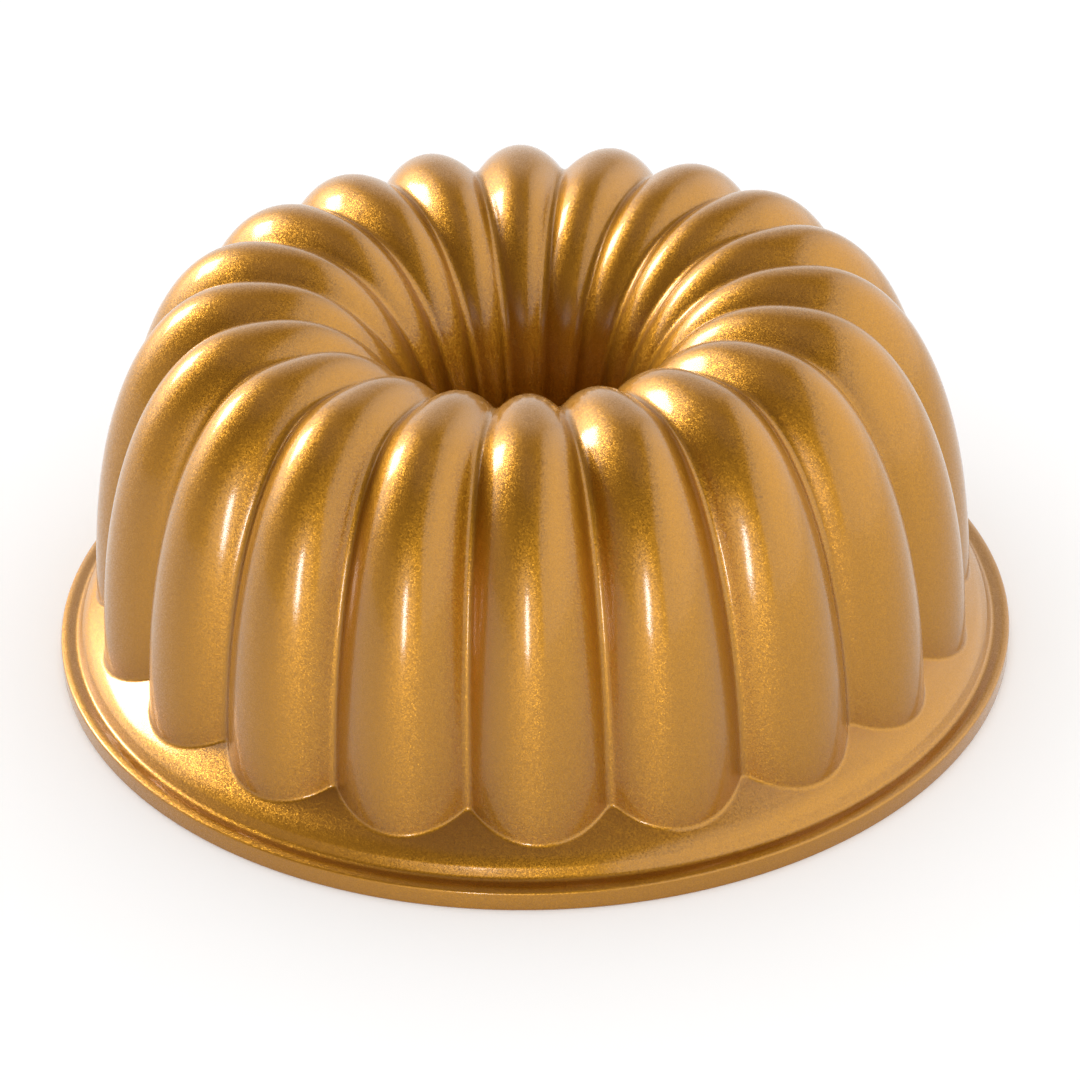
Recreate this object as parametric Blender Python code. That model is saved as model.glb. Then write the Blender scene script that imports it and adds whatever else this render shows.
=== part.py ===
"""Fluted tube pan, one aluminium casting, standing on its rim with the crown up.

Metres, +Z up along the tube's axis, the middle of the rim plane at the origin.
The skin is a ring of equal flutes. A crest line and a crease line are drawn in section,
and every point of the skin lies between them, by its height along the section and its
azimuth within the flute.
"""
import bpy
import bmesh
import numpy as np
from math import atan2, cos, floor, pi, radians, sin, tan

# Driving dimensions.
RIM_R = 0.130            # outer radius of the rim, the widest place
HEIGHT = 0.1056          # rim plane to the top of the crown
FLUTES = 20
WALL = 0.0032            # thickness of the casting

LIP_H = 0.0052           # height of the rim's upright outer face
LIP_W = 0.0030           # ledge on top of that face
STEP_W = 0.0014          # run of the step from the ledge up to the flange
STEP_H = 0.0020          # rise of that step
EDGE = 0.0004            # broken edges of the rim
REST_W = 0.0056          # flat ring that the pan stands on
FLANGE_SLOPE = radians(31.4)

FLANGE_W = 0.0106        # rim edge to the foot of a flute's crest
FOOT_DEPTH = 0.0087      # crest foot to crease foot
CROWN_DEPTH = 0.0063     # crest to crease on top of the crown
CROWN_R = 0.0715         # radius of the crown's top
TUBE_R = 0.0231          # crease radius at the tube's free end
TUBE_DEPTH = 0.0016      # flute depth left there
TUBE_END_Z = 0.0070      # the tube stops this far short of the rim plane

CREST_DRAFT = radians(2.7)
CREASE_DRAFT = radians(3.0)
CREST_OUTER_POWER = 2.37     # how squarely the crest line turns from the wall to the crown
CREASE_OUTER_POWER = 1.99
CREST_INNER_POWER = 2.36     # and from the crown down into the tube
CREASE_INNER_POWER = 2.50
ROUNDNESS = 0.5              # 1 is a full arc between two creases, 0 a parabola
LEAST_ARC = 0.05             # half the arc of a flute that is almost flat, in radians

COLUMNS_PER_FLUTE = 6
WALL_ROWS = 8                # rows of the skin from the foot to the top of the crown
TUBE_ROWS = 8                # and from there to the tube's free end
INSIDE_ROWS = 7              # rows of the cavity's skin on each side of the crown
CROWDING = 1.35              # how far the rows draw together towards the crown, 1 is evenly spaced
SECTION_STEPS = 400          # short chords that a crest or crease line is measured along
SLOPE_STEP = 0.01            # share of that line on each side of a ring that gives its slope
SHARP_ANGLE = radians(38)    # edges that turn more than this are drawn sharp

# Sizes that follow from those above.
COLUMNS = FLUTES * COLUMNS_PER_FLUTE
PITCH = 2 * pi / FLUTES
SHOULDER_R = RIM_R - LIP_W - STEP_W
SHOULDER_Z = LIP_H + STEP_H
CREST_FOOT_R = RIM_R - FLANGE_W
CREASE_FOOT_R = CREST_FOOT_R - FOOT_DEPTH


def flange_z(r):
    """Height of the flange's upper face, a plain cone."""
    return SHOULDER_Z + tan(FLANGE_SLOPE) * (SHOULDER_R - r)


def quarter(foot, apex, power, draft, share):
    """Point at a share of the length of a rounded quarter from its foot to its apex, as (r, z)."""
    t = np.linspace(0, pi / 2, SECTION_STEPS)
    across = np.clip(np.cos(t), 0, 1) ** (2 / power)
    up = np.sin(t) ** (2 / power)
    z = foot[1] + (apex[1] - foot[1]) * up
    r = apex[0] + (foot[0] - tan(draft) * (z - foot[1]) - apex[0]) * across
    length = np.concatenate([[0], np.cumsum(np.hypot(np.diff(r), np.diff(z)))])
    at = share * length[-1]
    return np.array([np.interp(at, length, r), np.interp(at, length, z)])


def lines(side, share):
    """Crest and crease points of the outer skin, side "wall" from its foot or "tube" from its free end."""
    crest_top = (CROWN_R, HEIGHT)
    crease_top = (CROWN_R, HEIGHT - CROWN_DEPTH)
    if side == "wall":
        crest_foot = (CREST_FOOT_R, flange_z(CREST_FOOT_R))
        crease_foot = (CREASE_FOOT_R, flange_z(CREASE_FOOT_R))
        crest = quarter(crest_foot, crest_top, CREST_OUTER_POWER, CREST_DRAFT, share)
        crease = quarter(crease_foot, crease_top, CREASE_OUTER_POWER, CREASE_DRAFT, share)
    else:
        crest_foot = (TUBE_R - TUBE_DEPTH, TUBE_END_Z)
        crease_foot = (TUBE_R, TUBE_END_Z)
        crest = quarter(crest_foot, crest_top, CREST_INNER_POWER, 0, share)
        crease = quarter(crease_foot, crease_top, CREASE_INNER_POWER, 0, share)
    return crest, crease


def flute_point(crest, crease, azimuth):
    """Point of the skin at this azimuth, between a crest point and its crease point."""
    middle = PITCH * floor(azimuth / PITCH + 0.5)
    across = (azimuth - middle) / (PITCH / 2)
    depth = np.hypot(*(crest - crease)) / (crease[0] * sin(PITCH / 2))
    half = max(2 * np.arctan(depth) * ROUNDNESS, LEAST_ARC)
    turn = np.arcsin(np.clip(across * sin(half), -1, 1))
    rise = (cos(turn) - cos(half)) / (1 - cos(half))
    r, z = crease + (crest - crease) * max(rise, 0)
    return np.array([r * cos(azimuth), r * sin(azimuth), z])


def skin_ring(side, share):
    crest, crease = lines(side, share)
    return np.array([flute_point(crest, crease, 2 * pi * j / COLUMNS) for j in range(COLUMNS)])


def plain_ring(r, z):
    return np.array([(r * cos(a), r * sin(a), z) for a in 2 * pi * np.arange(COLUMNS) / COLUMNS])


def inside_ring(side, share):
    """The same ring moved one wall thickness into the cavity, square to the skin."""
    above = skin_ring(side, min(share + SLOPE_STEP, 1))
    below = skin_ring(side, max(share - SLOPE_STEP, 0))
    here = skin_ring(side, share)
    along = above - below
    round_ = np.roll(here, -1, axis=0) - np.roll(here, 1, axis=0)
    normal = np.cross(round_, along) if side == "wall" else np.cross(along, round_)
    normal /= np.linalg.norm(normal, axis=1)[:, None]
    return here - WALL * normal


def level_inside_ring(side, z_of):
    """The lowest ring of a side moved level into the cavity, at the height that z_of gives for its radius."""
    here = skin_ring(side, 0)
    round_ = np.roll(here, -1, axis=0) - np.roll(here, 1, axis=0)
    out = np.stack([round_[:, 1], -round_[:, 0]], axis=1)
    out /= np.linalg.norm(out, axis=1)[:, None]
    moved = here[:, :2] - (WALL if side == "wall" else -WALL) * out
    return np.array([(x, y, z_of(np.hypot(x, y))) for x, y in moved])


def rows_up(rows):
    """Where the rows of one side lie from its foot to the crown, as shares of its length."""
    return 1 - (1 - np.arange(rows + 1) / rows) ** CROWDING


def section_rings():
    """All rings of the casting in order round its section, as arrays of points."""
    wall = [skin_ring("wall", share) for share in rows_up(WALL_ROWS)]
    tube = [skin_ring("tube", share) for share in rows_up(TUBE_ROWS)[-2::-1]]
    inside_tube = [inside_ring("tube", share) for share in rows_up(INSIDE_ROWS)[1:]]
    inside_wall = [inside_ring("wall", share) for share in rows_up(INSIDE_ROWS)[-2:0:-1]]
    under = WALL / cos(FLANGE_SLOPE)
    rest_in = RIM_R - REST_W
    rim = [
        plain_ring(rest_in - EDGE, flange_z(rest_in) - under),
        plain_ring(rest_in, flange_z(rest_in) - under - WALL / 2),
        plain_ring(rest_in, EDGE),
        plain_ring(rest_in + EDGE, 0),
        plain_ring(RIM_R - EDGE, 0),
        plain_ring(RIM_R, EDGE),
        plain_ring(RIM_R, LIP_H - EDGE),
        plain_ring(RIM_R - EDGE, LIP_H),
        plain_ring(RIM_R - LIP_W, LIP_H + EDGE / 2),
        plain_ring(SHOULDER_R + EDGE, SHOULDER_Z - 2 * EDGE),
        plain_ring(SHOULDER_R - EDGE, flange_z(SHOULDER_R - EDGE)),
    ]
    return (
        wall
        + tube
        + [level_inside_ring("tube", lambda r: TUBE_END_Z)]
        + inside_tube
        + inside_wall
        + [level_inside_ring("wall", lambda r: flange_z(r) - under)]
        + rim
    )


for old in list(bpy.data.objects):
    bpy.data.objects.remove(old)
for old in list(bpy.data.collections):
    bpy.data.collections.remove(old)

pan_parts = bpy.data.collections.new("fluted_tube_pan")
bpy.context.scene.collection.children.link(pan_parts)

# One section as a closed loop, spun round the axis, then each vertex set in its place on the flutes.
rings = section_rings()
bm = bmesh.new()
ring_of = bm.verts.layers.int.new("ring")
loop = []
for index, ring in enumerate(rings):
    vertex = bm.verts.new((float(np.hypot(ring[0][0], ring[0][1])), 0, float(ring[0][2])))
    vertex[ring_of] = index
    loop.append(vertex)
edges = [bm.edges.new((loop[i - 1], loop[i])) for i in range(len(loop))]
bmesh.ops.spin(
    bm, geom=loop + edges, cent=(0, 0, 0), axis=(0, 0, 1), angle=2 * pi, steps=COLUMNS, use_merge=True
)
for vertex in bm.verts:
    column = round(atan2(vertex.co.y, vertex.co.x) / (2 * pi) * COLUMNS) % COLUMNS
    vertex.co = rings[vertex[ring_of]][column]
bmesh.ops.recalc_face_normals(bm, faces=bm.faces)

mesh = bpy.data.meshes.new("pan_casting")
bm.to_mesh(mesh)
bm.free()
mesh.shade_smooth()
mesh.set_sharp_from_angle(angle=SHARP_ANGLE)

gold_finish = bpy.data.materials.new("gold_finish")
gold_finish.use_nodes = True
shader = gold_finish.node_tree.nodes["Principled BSDF"]
shader.inputs["Base Color"].default_value = (0.55, 0.30, 0.075, 1)
shader.inputs["Metallic"].default_value = 1.0
shader.inputs["Roughness"].default_value = 0.28
mesh.materials.append(gold_finish)

pan_casting = bpy.data.objects.new("pan_casting", mesh)
pan_parts.objects.link(pan_casting)
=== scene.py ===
"""Looks of the fluted tube pan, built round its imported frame: one gold-painted casting on a white table."""
from math import cos, pi, radians, sin, tan

import bpy
import numpy as np
from mathutils import Matrix, Vector


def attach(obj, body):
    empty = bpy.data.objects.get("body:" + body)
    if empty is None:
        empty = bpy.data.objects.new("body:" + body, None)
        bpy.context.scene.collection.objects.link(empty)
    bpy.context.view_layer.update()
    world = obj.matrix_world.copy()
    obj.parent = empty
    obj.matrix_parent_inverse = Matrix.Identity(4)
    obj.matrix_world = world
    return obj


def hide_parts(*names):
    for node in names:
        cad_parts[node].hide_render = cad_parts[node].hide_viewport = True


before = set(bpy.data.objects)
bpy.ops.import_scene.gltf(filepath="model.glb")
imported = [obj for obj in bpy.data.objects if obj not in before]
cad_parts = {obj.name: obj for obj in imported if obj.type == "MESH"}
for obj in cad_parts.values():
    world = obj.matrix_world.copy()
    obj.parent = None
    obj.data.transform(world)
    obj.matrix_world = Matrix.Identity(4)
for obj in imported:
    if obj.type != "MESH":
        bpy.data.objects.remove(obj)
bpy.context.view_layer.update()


# The pan: one aluminium casting, poured in one piece, trimmed and sprayed with gold metallic paint.
# A ring of equal flutes rises from scalloped feet on a sloping flange, turns over the crown and runs
# down into an open centre tube. The pan stands on its rim, and every edge has the mould's small radii.
FLUTES = 20
HALF_PITCH = pi / FLUTES         # half the angle of a flute
RIM_R = 0.130
HEIGHT = 0.1056                  # rim plane to the top of the crown
WALL = 0.0032                    # thickness of the casting

# The rim and the flange. Pairs are a radius and a height.
REST_W = 0.0056                  # flat ring that the pan stands on
LIP_H = 0.0053                   # upright outer face of the rim
BEAD = (0.1282, 0.0059)          # top of the rim's low bead
GROOVE = (0.1253, 0.0055)        # groove between the bead and the flange
FLANGE_EDGE = (0.1238, 0.0085)   # where the flange turns down into the groove
FLANGE_BEND = (0.1222, 0.01046)  # inside this point the flange is a plain cone
FLANGE_SLOPE = radians(31.8)
RIM_REACH = 0.004                # how far the rim's section runs in under and over the flange

# The flutes, as a crest line and a crease line.
FLANGE_W = 0.0102                # rim edge to the foot of a flute's crest
FOOT_DEPTH = 0.0087              # crest foot to crease foot
CREST_FOOT_R = RIM_R - FLANGE_W
CREASE_FOOT_R = CREST_FOOT_R - FOOT_DEPTH
CREST_DRAFT = radians(2.7)
CREASE_DRAFT = radians(3.0)
CROWN_R = 0.0715
CROWN_DEPTH = 0.0063             # crest to crease on top of the crown
TUBE_R = 0.0231                  # crease radius at the tube's free end
TUBE_DEPTH = 0.0016              # flute depth left there
TUBE_END_Z = 0.0070
CREST_OUTER_POWER = 2.37         # how squarely the crest line turns from the wall to the crown
CREASE_OUTER_POWER = 1.99
CREST_INNER_POWER = 2.36         # and from the crown down into the tube
CREASE_INNER_POWER = 2.50
FLUTE_ROUNDNESS = 0.5            # 1 is a full arc between two creases, 0 a parabola
LEAST_ARC = 0.05                 # half the arc of a flute that is almost flat, in radians

# Cast radii.
CREASE_FILLET = 0.0017
MOST_FILLET = 0.4                # a crease's radius takes no more than this share of half a pitch
FOOT_FILLET = 0.0016
INNER_EDGE = 0.0030              # where the cavity meets the flange's underside
TUBE_EDGE = 0.0008
UNDER_COVE = 0.0010              # where the flange's underside meets the rim
RIM_EDGE = 0.0005
LIP_ROLL = 0.0008
BEAD_ROLL = 0.0035
GROOVE_COVE = 0.0015
EDGE_ROLL = 0.0030
FLANGE_SWEEP = 0.0110

# The mesh.
HALF_COLUMNS = 12                # columns on each side of a flute's crest
COLUMN_CROWDING = 0.5            # how far the columns draw together towards the creases, 0 is even
WALL_ROWS = 42
TUBE_ROWS = 32
INSIDE_ROWS = 20                 # rows of the cavity's skin on each side of the crown
ROW_CROWDING = 1.25              # how far the rows draw together towards the crown, 1 is even
LINE_POINTS = 4000               # close points that a crest or crease line is measured through
FINE_ROWS = 400                  # rows that the skin is first drawn in
LEAD_ROW = 12                    # fine row that gives the direction in which the skin leaves an end
LEAD = 0.01                      # length along the flange that gives its direction
ARC_STEPS = 6                    # of the foot's fillet and the rim's radii
EDGE_STEPS = 5                   # of the cavity's edge
TUBE_EDGE_STEPS = 4
FOOT_CLEAR = 0.0003              # gaps in height between a rounded corner and the plain skin's rows
TUBE_CLEAR = 0.0012
EDGE_CLEAR = 0.0006
UNDER_SHARES = (0.35, 0.7)       # where rows cross the flange's underside and its upper face
TOP_SHARES = (0.3, 0.6, 0.85)
WELD = 5e-6                      # points nearer than this are one


def flange_z(r):
    """Height of the flange's upper face at a radius."""
    return FLANGE_BEND[1] + tan(FLANGE_SLOPE) * (FLANGE_BEND[0] - r)


def quarter(foot, apex, power, draft, shares):
    """Radii and heights at these shares of the length of a rounded quarter from foot to apex."""
    t = np.linspace(0, pi / 2, LINE_POINTS)
    across = np.clip(np.cos(t), 0, 1) ** (2 / power)
    up = np.sin(t) ** (2 / power)
    z = foot[1] + (apex[1] - foot[1]) * up
    r = apex[0] + (foot[0] - tan(draft) * (z - foot[1]) - apex[0]) * across
    length = np.concatenate([[0], np.cumsum(np.hypot(np.diff(r), np.diff(z)))])
    at = shares * length[-1]
    return np.stack([np.interp(at, length, r), np.interp(at, length, z)], -1)


def flute_skin(side, shares, across):
    """Outer skin of one flute as rows of (radius, height), a row for each share of the side's length.

    Places across the flute run from -1 at one crease, through 0 at the crest, to 1 at the next crease.
    """
    crown = ((CROWN_R, HEIGHT), (CROWN_R, HEIGHT - CROWN_DEPTH))
    if side == "wall":
        feet = [(r, flange_z(r)) for r in (CREST_FOOT_R, CREASE_FOOT_R)]
        crest = quarter(feet[0], crown[0], CREST_OUTER_POWER, CREST_DRAFT, shares)
        crease = quarter(feet[1], crown[1], CREASE_OUTER_POWER, CREASE_DRAFT, shares)
    else:
        ends = ((TUBE_R - TUBE_DEPTH, TUBE_END_Z), (TUBE_R, TUBE_END_Z))
        crest = quarter(ends[0], crown[0], CREST_INNER_POWER, 0, shares)
        crease = quarter(ends[1], crown[1], CREASE_INNER_POWER, 0, shares)
    run = crease[:, :1] * sin(HALF_PITCH)
    depth = np.linalg.norm(crest - crease, axis=1)[:, None]
    arc_half = np.maximum(2 * np.arctan(depth / run) * FLUTE_ROUNDNESS, LEAST_ARC)
    # The crease's own radius takes the place of the sharp valley, measured in half pitches.
    slope = depth * np.sin(arc_half) * np.tan(arc_half) / (1 - np.cos(arc_half)) / run
    radius = np.minimum(CREASE_FILLET / run, MOST_FILLET)
    reach = radius * np.sin(np.arctan(slope))
    away = 1 - np.abs(across)[None, :]
    valley = slope * reach + radius * np.cos(np.arctan(slope))
    valley = (valley - np.sqrt(radius ** 2 - np.minimum(away, reach) ** 2)) / slope
    away = np.where(away < reach, valley, away)
    turn = np.arcsin(np.clip((1 - away) * np.sin(arc_half), -1, 1))
    rise = (np.cos(turn) - np.cos(arc_half)) / (1 - np.cos(arc_half))
    return crease[:, None, :] + (crest - crease)[:, None, :] * rise[:, :, None]


def fillet(before, corner, after, radius, steps):
    """Points of an arc of this radius in the corner between two straight runs of a section."""
    a = (before - corner) / np.linalg.norm(before - corner)
    b = (after - corner) / np.linalg.norm(after - corner)
    opening = np.arccos(np.clip(a @ b, -1, 1))
    middle = corner + (a + b) / np.linalg.norm(a + b) * radius / sin(opening / 2)
    first = corner + a * radius / tan(opening / 2) - middle
    last = corner + b * radius / tan(opening / 2) - middle
    sweep = pi - opening
    turns = np.linspace(0, sweep, steps + 1)
    return [middle + (sin(sweep - t) * first + sin(t) * last) / sin(sweep) for t in turns]


def rounded(corners, radii):
    """A section through these corners, each but the first and last turned with its own radius."""
    points = [np.array(corner) for corner in corners]
    section = []
    for i, radius in enumerate(radii):
        section += fillet(points[i], points[i + 1], points[i + 2], radius, ARC_STEPS)
    return section


def along(line, shares):
    """Points at these shares of the length of a line in section."""
    length = np.concatenate([[0], np.cumsum(np.linalg.norm(np.diff(line[:, :2], axis=0), axis=1))])
    return np.stack([np.interp(shares * length[-1], length, values) for values in line.T], -1)


def to_space(section, azimuth):
    """Points of (radius, height) set at their azimuths."""
    r, z = section[..., 0], section[..., 1]
    return np.stack([r * np.cos(azimuth), r * np.sin(azimuth), z], -1)


def at_azimuth(section, azimuth):
    """Points of (radius, height) with one azimuth for all of them."""
    return np.column_stack([np.array(section), np.full(len(section), azimuth)])


def own_azimuths(points):
    """Points in space as (radius, height, azimuth)."""
    x, y, z = points.T
    return np.stack([np.hypot(x, y), z, np.arctan2(y, x)], -1)


def moved_in(skin, side):
    """The skin moved one wall thickness into the cavity, square to itself."""
    up = np.gradient(skin, axis=0)
    across = np.gradient(skin, axis=1)
    normal = np.cross(across, up) if side == "wall" else np.cross(up, across)
    normal /= np.linalg.norm(normal, axis=2)[:, :, None]
    # Each end column lies on a crease, where the normal has no sideways part.
    for column, azimuth in ((0, -HALF_PITCH), (-1, HALF_PITCH)):
        side_on = np.array([-sin(azimuth), cos(azimuth), 0])
        normal[:, column] -= (normal[:, column] @ side_on)[:, None] * side_on
        normal[:, column] /= np.linalg.norm(normal[:, column], axis=1)[:, None]
    return skin - WALL * normal


# Columns draw together towards the creases, rows towards the crown.
even = np.linspace(-1, 1, 2 * HALF_COLUMNS + 1)
across_flute = even * (1 + COLUMN_CROWDING - COLUMN_CROWDING * even ** 2)
azimuths = across_flute * HALF_PITCH
up_rows = 1 - (1 - np.linspace(0, 1, WALL_ROWS + 1)) ** ROW_CROWDING
down_rows = 1 - (1 - np.linspace(1, 0, TUBE_ROWS + 1)) ** ROW_CROWDING
inside_rows = np.linspace(0, 1, INSIDE_ROWS + 1)

fine_shares = np.linspace(0, 1, FINE_ROWS)
wall_skin = flute_skin("wall", fine_shares, across_flute)
tube_skin = flute_skin("tube", fine_shares, across_flute)
inner_wall = moved_in(to_space(wall_skin, azimuths), "wall")
inner_tube = moved_in(to_space(tube_skin, azimuths), "tube")

# The flange's thickness measured upright, and the way down its slope.
under = WALL / cos(FLANGE_SLOPE)
flange_run = np.array([cos(FLANGE_SLOPE), -sin(FLANGE_SLOPE)])
rest_in = RIM_R - REST_W
rim_section = rounded(
    [
        (rest_in - RIM_REACH, flange_z(rest_in - RIM_REACH) - under),
        (rest_in, flange_z(rest_in) - under),
        (rest_in, 0),
        (RIM_R, 0),
        (RIM_R, LIP_H),
        BEAD,
        GROOVE,
        FLANGE_EDGE,
        FLANGE_BEND,
        (FLANGE_BEND[0] - RIM_REACH, flange_z(FLANGE_BEND[0] - RIM_REACH)),
    ],
    [UNDER_COVE, RIM_EDGE, RIM_EDGE, LIP_ROLL, BEAD_ROLL, GROOVE_COVE, EDGE_ROLL, FLANGE_SWEEP],
)

columns = []
for j, azimuth in enumerate(azimuths):
    # From the flange round the foot's fillet and up the wall to the crown.
    wall = wall_skin[:, j]
    foot = fillet(wall[0] + flange_run * LEAD, wall[0], wall[LEAD_ROW], FOOT_FILLET, ARC_STEPS)
    above = wall[wall[:, 1] > foot[-1][1] + FOOT_CLEAR]
    outer = foot + list(along(above, up_rows))
    # Down the tube, round its end, and up again inside the casting. A point inside has its own
    # azimuth, because the wall's thickness is set off square to the skin.
    tube = tube_skin[:, j]
    inside_tube = own_azimuths(inner_tube[:, j])
    end_out = tube[0]
    end_in = np.array([np.interp(TUBE_END_Z, inside_tube[:, 1], values) for values in inside_tube.T])
    above = tube[tube[:, 1] > TUBE_END_Z + TUBE_CLEAR]
    outer += list(along(above, down_rows)[1:])
    outer += fillet(tube[LEAD_ROW], end_out, end_in[:2], TUBE_EDGE, TUBE_EDGE_STEPS)
    end_round = fillet(end_out, end_in[:2], inside_tube[LEAD_ROW, :2], TUBE_EDGE, TUBE_EDGE_STEPS)
    above = inside_tube[inside_tube[:, 1] > TUBE_END_Z + TUBE_CLEAR]
    inside_up = along(above, inside_rows)
    # Down the cavity's side of the wall and over the rounded edge onto the flange's underside. The
    # corner is where the wall's line, run on, meets that underside.
    inside_wall = own_azimuths(inner_wall[:, j])
    start, further = inside_wall[0, :2], inside_wall[LEAD_ROW, :2]
    direction = (start - further) / np.linalg.norm(start - further)
    drop = start[1] - flange_z(start[0]) + under
    drop /= -direction[1] - tan(FLANGE_SLOPE) * direction[0]
    corner = start + direction * drop
    edge = fillet(further, corner, corner + flange_run * LEAD, INNER_EDGE, EDGE_STEPS)
    above = inside_wall[inside_wall[:, 1] > edge[0][1] + EDGE_CLEAR]
    inside_down = along(above, inside_rows[::-1])[1:]
    edge = at_azimuth(edge, inside_wall[0, 2])
    # Out along the flange's underside, round the rim and back over the flange to the foot.
    rim = at_azimuth(rim_section, azimuth)
    flange_under = [edge[-1] + (rim[0] - edge[-1]) * share for share in UNDER_SHARES]
    flange_top = [rim_section[-1] + (foot[0] - rim_section[-1]) * share for share in TOP_SHARES]
    columns.append(np.concatenate([
        at_azimuth(outer, azimuth),
        at_azimuth(end_round, end_in[2]),
        inside_up,
        inside_down,
        edge,
        flange_under,
        rim,
        at_azimuth(flange_top, azimuth),
    ]))
columns = np.array(columns)
wedge_points = to_space(columns[..., :2], columns[..., 2])

rows = wedge_points.shape[1]
faces = []
for j in range(len(azimuths) - 1):
    for i in range(rows):
        k = (i + 1) % rows
        faces.append((j * rows + i, (j + 1) * rows + i, (j + 1) * rows + k, j * rows + k))
wedge = bpy.data.meshes.new("flute_wedge")
wedge.from_pydata(wedge_points.reshape(-1, 3), [], faces)
wedge.update()


def plug(tree, value, socket):
    """Feeds a socket from another one, or sets a plain value on it."""
    if isinstance(value, bpy.types.NodeSocket):
        tree.links.new(value, socket)
    else:
        socket.default_value = value


def math_node(tree, operation, *values):
    """Math node on sockets or numbers, as its output socket."""
    node = tree.nodes.new("ShaderNodeMath")
    node.operation = operation
    for value, socket in zip(values, node.inputs):
        plug(tree, value, socket)
    return node.outputs[0]


def flute_ring_tree():
    """Node tree that turns one flute into the whole ring, joined at the creases."""
    tree = bpy.data.node_groups.new("ring_of_flutes", "GeometryNodeTree")
    sockets = {}
    for name, kind, default in (
        ("Flute", "NodeSocketGeometry", None),
        ("Flutes", "NodeSocketInt", FLUTES),
        ("Weld distance", "NodeSocketFloat", WELD),
        ("Finish", "NodeSocketMaterial", None),
    ):
        socket = tree.interface.new_socket(name=name, in_out="INPUT", socket_type=kind)
        if default is not None:
            socket.default_value = default
        sockets[name] = socket.identifier
    tree.interface.new_socket(name="Ring", in_out="OUTPUT", socket_type="NodeSocketGeometry")
    add, link = tree.nodes.new, tree.links.new
    given = add("NodeGroupInput").outputs
    out = add("NodeGroupOutput")
    places = add("GeometryNodePoints")
    index = add("GeometryNodeInputIndex").outputs[0]
    share = math_node(tree, "DIVIDE", index, given["Flutes"])
    turn = math_node(tree, "MULTIPLY", share, 2 * pi)
    about_axis = add("ShaderNodeCombineXYZ")
    copies = add("GeometryNodeInstanceOnPoints")
    realise = add("GeometryNodeRealizeInstances")
    weld = add("GeometryNodeMergeByDistance")
    smooth = add("GeometryNodeSetShadeSmooth")
    finish = add("GeometryNodeSetMaterial")
    link(given["Flutes"], places.inputs["Count"])
    link(turn, about_axis.inputs["Z"])
    link(places.outputs[0], copies.inputs["Points"])
    link(given["Flute"], copies.inputs["Instance"])
    link(about_axis.outputs[0], copies.inputs["Rotation"])
    link(copies.outputs[0], realise.inputs[0])
    link(realise.outputs[0], weld.inputs["Geometry"])
    link(given["Weld distance"], weld.inputs["Distance"])
    link(weld.outputs[0], smooth.inputs["Geometry"])
    link(smooth.outputs[0], finish.inputs["Geometry"])
    link(given["Finish"], finish.inputs["Material"])
    link(finish.outputs[0], out.inputs[0])
    return tree, sockets


# The paint: gold flakes under a clear coat, sprayed on a casting that is a little uneven.
DARK_FLAKE = (0.36, 0.161, 0.010)
LIGHT_FLAKE = (0.46, 0.209, 0.014)
FLAKE_SIZE = 0.0002
FLAKE_TILT = 0.16                # the most that a flake leans off the surface's normal, on each axis
FLAKE_ROUGHNESS = (0.38, 0.54)
COAT_ROUGHNESS = 0.15
COAT_IOR = 1.45
COAT_SHOW = 0.08                 # share of a flake's tilt that still shows in the coat over it
PEEL_WAVE = 0.0014               # ripple of the sprayed coat
PEEL_HEIGHT = 1.2e-5
PEEL_DETAIL = 2.0
CAST_WAVE = 0.012                # unevenness of the casting
CAST_HEIGHT = 6e-5
CAST_DETAIL = 1.0


def vector_math(tree, operation, *vectors, scale=None):
    """Vector Math node on sockets or vectors, as its output socket."""
    node = tree.nodes.new("ShaderNodeVectorMath")
    node.operation = operation
    for value, socket in zip(vectors, node.inputs):
        plug(tree, value, socket)
    if scale is not None:
        node.inputs["Scale"].default_value = scale
    return node.outputs["Value" if operation == "DOT_PRODUCT" else "Vector"]


def waves(tree, place, wave, detail, height):
    """Bump node for gentle waves of this length and height."""
    noise = tree.nodes.new("ShaderNodeTexNoise")
    noise.inputs["Scale"].default_value = 1 / wave
    noise.inputs["Detail"].default_value = detail
    bump = tree.nodes.new("ShaderNodeBump")
    bump.inputs["Distance"].default_value = height
    tree.links.new(place, noise.inputs["Vector"])
    tree.links.new(noise.outputs["Fac"], bump.inputs["Height"])
    return bump


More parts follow.
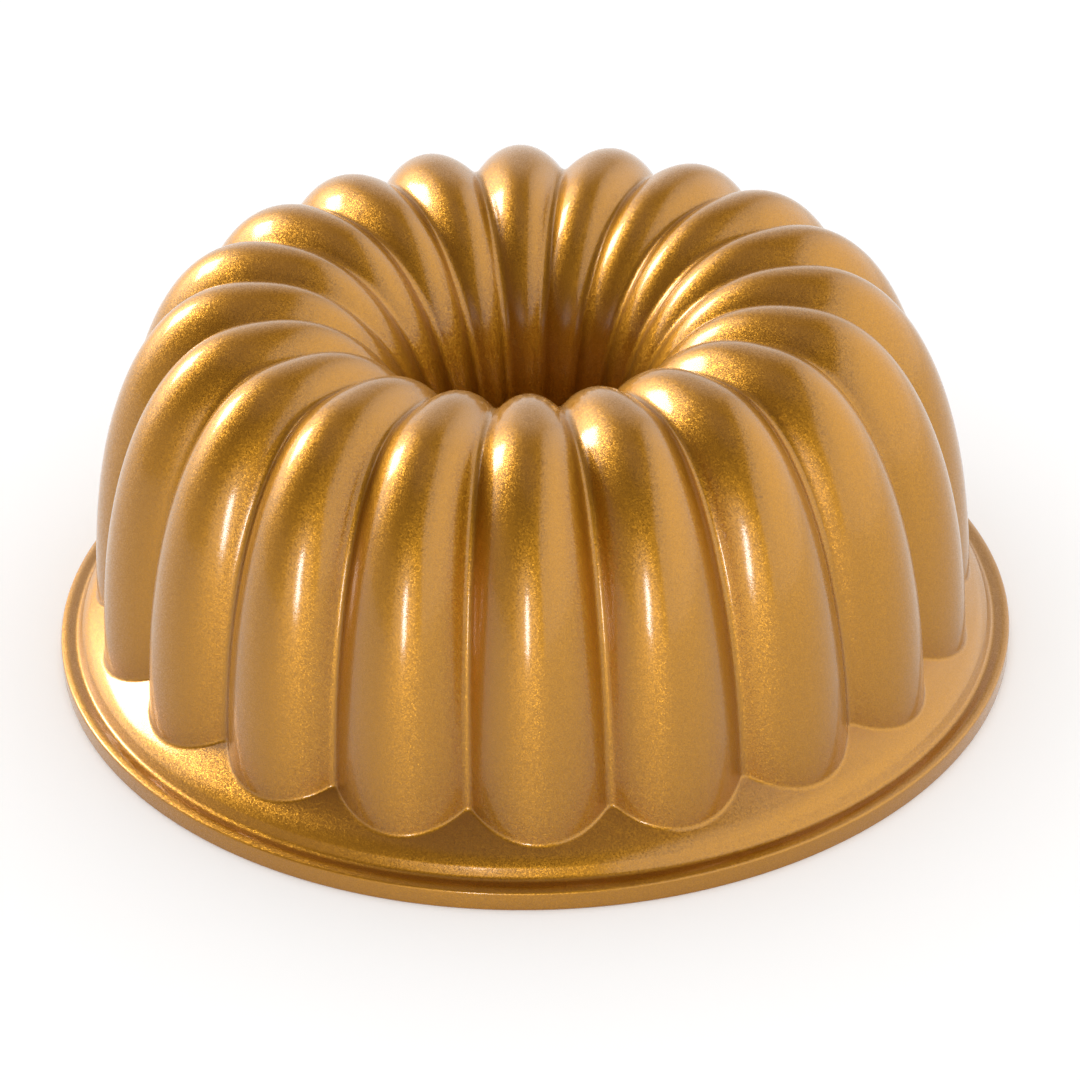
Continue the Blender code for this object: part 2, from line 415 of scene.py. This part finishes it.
def flake_paint():
    """Gold metallic paint: tilted flakes, each its own shade and gloss, under a rippled clear coat."""
    material = bpy.data.materials.new("gold_finish")
    material.use_nodes = True
    tree = material.node_tree
    nodes, link = tree.nodes, tree.links.new
    shader = nodes["Principled BSDF"]
    shader.inputs["Metallic"].default_value = 1.0
    shader.inputs["Coat Weight"].default_value = 1.0
    shader.inputs["Coat Roughness"].default_value = COAT_ROUGHNESS
    shader.inputs["Coat IOR"].default_value = COAT_IOR
    place = nodes.new("ShaderNodeTexCoord").outputs["Object"]
    casting = waves(tree, place, CAST_WAVE, CAST_DETAIL, CAST_HEIGHT).outputs[0]

    # Every cell of the pattern is one flake with its own random vector.
    flakes = nodes.new("ShaderNodeTexVoronoi")
    flakes.inputs["Scale"].default_value = 1 / FLAKE_SIZE
    link(place, flakes.inputs["Vector"])
    centred = vector_math(tree, "SUBTRACT", flakes.outputs["Color"], (0.5, 0.5, 0.5))
    tilt = vector_math(tree, "SCALE", centred, scale=2 * FLAKE_TILT)
    tilted = vector_math(tree, "ADD", tilt, casting)
    link(vector_math(tree, "NORMALIZE", tilted), shader.inputs["Normal"])
    split = nodes.new("ShaderNodeSeparateColor")
    link(flakes.outputs["Color"], split.inputs[0])
    gloss = nodes.new("ShaderNodeMapRange")
    gloss.inputs["To Min"].default_value = FLAKE_ROUGHNESS[0]
    gloss.inputs["To Max"].default_value = FLAKE_ROUGHNESS[1]
    link(split.outputs["Red"], gloss.inputs["Value"])
    link(gloss.outputs[0], shader.inputs["Roughness"])
    shade = nodes.new("ShaderNodeValToRGB")
    shade.color_ramp.elements[0].color = (*DARK_FLAKE, 1)
    shade.color_ramp.elements[1].color = (*LIGHT_FLAKE, 1)
    link(split.outputs["Green"], shade.inputs[0])
    link(shade.outputs[0], shader.inputs["Base Color"])

    # The clear coat flows out almost level over the flakes.
    peel = waves(tree, place, PEEL_WAVE, PEEL_DETAIL, PEEL_HEIGHT)
    link(casting, peel.inputs["Normal"])
    level = vector_math(tree, "SCALE", tilt, scale=COAT_SHOW)
    over = vector_math(tree, "ADD", level, peel.outputs[0])
    link(vector_math(tree, "NORMALIZE", over), shader.inputs["Coat Normal"])
    return material


flute = bpy.data.objects.new("flute", wedge)
bpy.context.scene.collection.objects.link(flute)
ring_tree, sockets = flute_ring_tree()
modifier = flute.modifiers.new("ring of flutes", "NODES")
modifier.node_group = ring_tree
modifier[sockets["Flutes"]] = FLUTES
modifier[sockets["Weld distance"]] = WELD
modifier[sockets["Finish"]] = flake_paint()
graph = bpy.context.evaluated_depsgraph_get()
pan_mesh = bpy.data.meshes.new_from_object(flute.evaluated_get(graph))
bpy.data.objects.remove(flute)
pan = bpy.data.objects.new("gold_pan", pan_mesh)
bpy.context.scene.collection.objects.link(pan)
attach(pan, "root")
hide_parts("pan_casting")


# The table.
# A plain white tabletop, matt and far wider than the picture. A small share of it shows plain
# white to camera and mirror rays, and the rest holds the pan's shadow.
WHITE = (1.0, 1.0, 1.0, 1)
TABLE_SIZE = 8
TABLE_ROUGHNESS = 0.9
TABLE_SPECULAR = 0.1             # specular level, a matt surface has little
PLAIN_SHARE = 0.05               # share that shows plain white


def seen_in_mirrors(tree, path):
    """1 on glossy and transmission rays, 0 on others, from a Light Path node's outputs."""
    return math_node(tree, "MAXIMUM", path["Is Glossy Ray"], path["Is Transmission Ray"])


table_white = bpy.data.materials.new("white_table")
table_white.use_nodes = True
tree = table_white.node_tree
matt = tree.nodes["Principled BSDF"]
matt.inputs["Base Color"].default_value = WHITE
matt.inputs["Roughness"].default_value = TABLE_ROUGHNESS
matt.inputs["Specular IOR Level"].default_value = TABLE_SPECULAR
plain = tree.nodes.new("ShaderNodeEmission")
plain.inputs["Color"].default_value = WHITE
path = tree.nodes.new("ShaderNodeLightPath").outputs
seen = math_node(tree, "MAXIMUM", path["Is Camera Ray"], seen_in_mirrors(tree, path))
mixed = tree.nodes.new("ShaderNodeMixShader")
tree.links.new(math_node(tree, "MULTIPLY", seen, PLAIN_SHARE), mixed.inputs[0])
tree.links.new(matt.outputs[0], mixed.inputs[1])
tree.links.new(plain.outputs[0], mixed.inputs[2])
tree.links.new(mixed.outputs[0], tree.nodes["Material Output"].inputs["Surface"])
bpy.ops.mesh.primitive_plane_add(size=TABLE_SIZE)
table = bpy.context.object
table.name = "table"
table.data.materials.append(table_white)


# The studio light.
# A tall white wall panel on the right, a soft lamp behind on the left and a narrow one in front,
# under a dim, warm ceiling. Metal mirrors that room, and matt surfaces get one even level of it.
CEILING = 0.175                  # levels of the dim room, overhead and at the horizon
HORIZON = 0.55
HORIZON_TOP = (0.18, 0.50)       # heights on the unit sphere between which it fades to the ceiling
AMBIENT = 1.1                    # the even level that matt surfaces get
ROOM = (1.0, 0.69, 0.44, 1)      # tint of the dim parts of the room
PANEL = 1.72                     # level of the wall panel, which stands square to the X axis
PANEL_ENDS = (-3.9, -3.2, 0.6, 3.6)   # its two soft ends, as Y over X
PANEL_TOP = (1.5, 3.1)           # and its soft top, as Z over X
LEAST_AHEAD = 0.01               # keeps those ratios finite where X is small or negative
GLOWS = (                        # azimuth, elevation, inner and outer angle in degrees, level
    (149, 26, 10, 32, 2.2),      # round the back lamp
    (135, 30, 20, 65, 0.3),      # and its wider spill
    (82, 15, 15, 48, 0.55),      # the far wall
    (-104, 4, 3, 26, 1.2),       # round the strip lamp
    (-92, 79, 5, 30, 0.30),      # the ceiling, a little in front of the pan
)
LAMPS = (                        # name, azimuth, elevation, distance, width and height, radiance
    ("back_lamp", 149, 28, 1.6, (0.54, 0.48), 17.5),
    ("strip_lamp", -103, 6, 2.5, (0.20, 0.60), 36.0),
)
LAMP_AIM = Vector((0, 0, 0.05))  # the lamps face the middle of the pan


def soft_step(tree, value, first, last, low, high):
    """Level that eases from low at first to high at last."""
    node = tree.nodes.new("ShaderNodeMapRange")
    node.interpolation_type = "SMOOTHSTEP"
    for name, number in (("From Min", first), ("From Max", last), ("To Min", low), ("To Max", high)):
        node.inputs[name].default_value = number
    tree.links.new(value, node.inputs["Value"])
    return node.outputs[0]


def towards(azimuth, elevation):
    """Unit vector from the pan in a direction given in degrees."""
    azimuth, elevation = radians(azimuth), radians(elevation)
    return Vector((cos(elevation) * cos(azimuth), cos(elevation) * sin(azimuth), sin(elevation)))


world = bpy.data.worlds.new("studio")
bpy.context.scene.world = world
world.use_nodes = True
tree = world.node_tree
direction = tree.nodes.new("ShaderNodeTexCoord").outputs["Generated"]
split = tree.nodes.new("ShaderNodeSeparateXYZ")
tree.links.new(direction, split.inputs[0])
x, y, z = split.outputs

level = soft_step(tree, z, *HORIZON_TOP, HORIZON, CEILING)
for azimuth, elevation, inner, outer, glow in GLOWS:
    nearness = vector_math(tree, "DOT_PRODUCT", direction, towards(azimuth, elevation))
    near = soft_step(tree, nearness, cos(radians(outer)), cos(radians(inner)), 0, glow)
    level = math_node(tree, "ADD", level, near)
ahead = math_node(tree, "MAXIMUM", x, LEAST_AHEAD)
sideways = math_node(tree, "DIVIDE", y, ahead)
upwards = math_node(tree, "DIVIDE", z, ahead)
near_end = soft_step(tree, sideways, *PANEL_ENDS[:2], 0, 1)
far_end = soft_step(tree, sideways, *PANEL_ENDS[2:], 1, 0)
panel = math_node(tree, "MULTIPLY", near_end, far_end)
panel = math_node(tree, "MULTIPLY", panel, soft_step(tree, upwards, *PANEL_TOP, PANEL, 0))
level = math_node(tree, "MAXIMUM", level, panel)

# Mirrors show the room, matt surfaces the ambient level, and the camera a white background. In a
# Mix node, sockets 2 and 3 are its two numbers, and 6 and 7 its two colours.
path = tree.nodes.new("ShaderNodeLightPath").outputs
mirrored = seen_in_mirrors(tree, path)
to_metal = tree.nodes.new("ShaderNodeMix")
to_metal.inputs[2].default_value = AMBIENT
tree.links.new(mirrored, to_metal.inputs[0])
tree.links.new(level, to_metal.inputs[3])
to_camera = tree.nodes.new("ShaderNodeMix")
to_camera.inputs[3].default_value = 1.0
tree.links.new(path["Is Camera Ray"], to_camera.inputs[0])
tree.links.new(to_metal.outputs[0], to_camera.inputs[2])
strength = to_camera.outputs[0]
# Dim parts of the mirrored room take its tint, which fades out as the level rises to 1.
tint = tree.nodes.new("ShaderNodeMix")
tint.data_type = "RGBA"
tint.inputs[6].default_value = ROOM
tint.inputs[7].default_value = WHITE
not_mirrored = math_node(tree, "SUBTRACT", 1, mirrored)
tree.links.new(math_node(tree, "MAXIMUM", strength, not_mirrored), tint.inputs[0])
background = tree.nodes["Background"]
tree.links.new(strength, background.inputs["Strength"])
tree.links.new(tint.outputs[2], background.inputs["Color"])

for name, azimuth, elevation, distance, size, radiance in LAMPS:
    data = bpy.data.lights.new(name, "AREA")
    data.shape = "RECTANGLE"
    data.size, data.size_y = size
    # An area lamp's power is its radiance times pi and its area.
    data.energy = radiance * pi * size[0] * size[1]
    lamp = bpy.data.objects.new(name, data)
    bpy.context.scene.collection.objects.link(lamp)
    outwards = towards(azimuth, elevation)
    lamp.location = outwards * distance + LAMP_AIM
    lamp.rotation_euler = outwards.to_track_quat("Z", "Y").to_euler()
    lamp.visible_camera = False
    lamp.visible_diffuse = False


# The camera.
# It stands a little above the pan and close to it. Place, turn and focal length were fitted to
# the photographed outline, crests, creases and rim.
CAMERA_TURN = radians(2.2062)    # about the pan's axis, from facing along +Y
CAMERA_TILT = radians(32.2935)
CAMERA_ROLL = radians(2.7485)
CAMERA_PLACE = Vector((-0.0335, -0.7720, 0.5147))
CAMERA_LENS = 111.585            # millimetres
CAMERA_SENSOR = 36
CAMERA_SHIFT = 0.12253           # share of the picture's width
camera_data = bpy.data.cameras.new("camera")
camera_data.lens = CAMERA_LENS
camera_data.sensor_width = CAMERA_SENSOR
camera_data.shift_x = CAMERA_SHIFT
camera = bpy.data.objects.new("camera", camera_data)
bpy.context.scene.collection.objects.link(camera)
camera.matrix_world = (
    Matrix.Rotation(CAMERA_TURN, 4, "Z")
    @ Matrix.Translation(CAMERA_PLACE)
    @ Matrix.Rotation(pi / 2 - CAMERA_TILT, 4, "X")
    @ Matrix.Rotation(-CAMERA_ROLL, 4, "Z")
)
bpy.context.scene.camera = camera
bpy.context.scene.view_settings.view_transform = "Standard"
